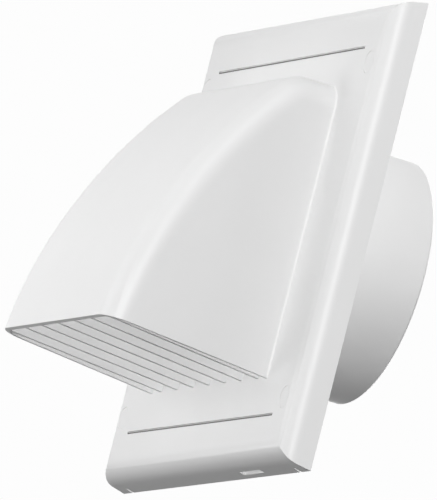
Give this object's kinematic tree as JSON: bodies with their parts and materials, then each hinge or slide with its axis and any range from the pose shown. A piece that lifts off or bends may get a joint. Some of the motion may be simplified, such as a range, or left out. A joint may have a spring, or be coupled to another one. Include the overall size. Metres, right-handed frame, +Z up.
{
  "type": "gravity flap vent",
  "caption": "Square wall plate with a curved cowl, finned mouth facing down, hinged flap inside and round duct spigot behind.",
  "frame": {"origin": "centre of the duct spigot in the plane of the wall, which is the back of the plate", "axes": "+Y along the spigot into the wall, +Z up, +X to the right of someone who faces the wall; the cowl faces -Y"},
  "size_m": [0.187, 0.1262, 0.187],
  "materials": {
    "cover": "satin moulded, white",
    "frame": "satin moulded, white",
    "flap": "satin moulded, white",
    "pin": "drawn",
    "seal": "closed-cell foam",
    "cap": "satin moulded, white"
  },
  "bodies": {
    "housing": {"front_cover": "cover", "back_frame": "frame", "hinge_pin": "pin", "flap_seal": "seal", "screw_cap_upper_left": "cap", "screw_cap_upper_right": "cap", "screw_cap_lower_left": "cap", "screw_cap_lower_right": "cap"},
    "flap": {"gravity_flap": "flap"}
  },
  "joints": [
    {"name": "flap_hinge", "type": "hinge", "parent": "housing", "child": "flap", "pos_m": [0, -0.0095, 0.052], "axis": [-1, 0, 0], "range_deg": [0, 32]}
  ]
}
